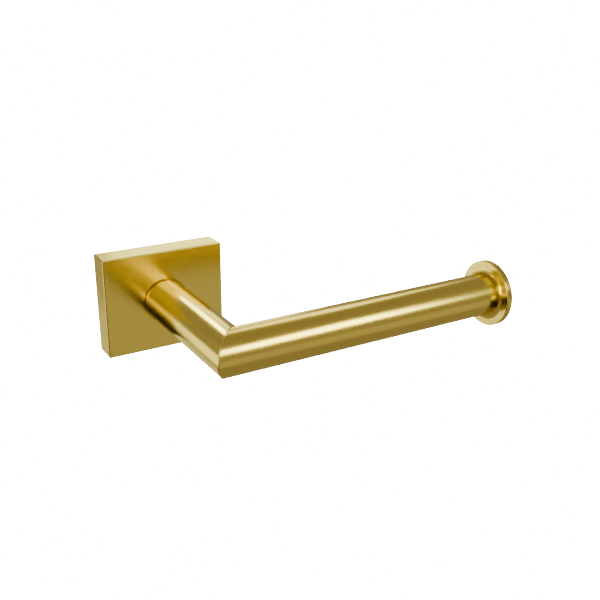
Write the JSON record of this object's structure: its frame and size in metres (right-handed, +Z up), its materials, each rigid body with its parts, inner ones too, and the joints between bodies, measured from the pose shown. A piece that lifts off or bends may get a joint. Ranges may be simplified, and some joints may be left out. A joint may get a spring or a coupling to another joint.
{
  "type": "toilet paper holder",
  "caption": "Wall-mounted toilet paper holder: rectangular cover plate, round arm mitred at a right angle to an open bar that ends in a round disc.",
  "frame": {"origin": "centre of the cover's back, on the wall and on the arm's axis", "axes": "+Y into the wall, -Y out into the room along the arm, +X along the bar towards its disc, +Z up"},
  "size_m": [0.16, 0.09, 0.045],
  "materials": {
    "brushed_gold_brass": "brushed PVD gold, satin",
    "gold_braze": "silver braze, ground flush and coated with the tubes",
    "bare_brass": "turned, uncoated",
    "zinc_plated_steel": "bright zinc plate",
    "stainless_steel": "plain stainless"
  },
  "bodies": {
    "holder": {"wall_bracket": "zinc_plated_steel", "cover_plate": "brushed_gold_brass", "arm_tube": "brushed_gold_brass", "bar_tube": "brushed_gold_brass", "mitre_braze": "gold_braze", "arm_root_plug": "bare_brass", "arm_screw": "stainless_steel", "arm_washer": "zinc_plated_steel", "arm_spring_washer": "stainless_steel", "arm_dowel": "stainless_steel", "bar_end_plug": "bare_brass", "end_disc": "brushed_gold_brass", "disc_stud": "stainless_steel"},
    "grub_screw": {"grub_screw": "stainless_steel"}
  },
  "joints": [
    {"name": "grub_screw_back_out", "type": "slide", "parent": "holder", "child": "grub_screw", "axis": [0, 0, -1], "range_m": [0, 0.0025]}
  ]
}
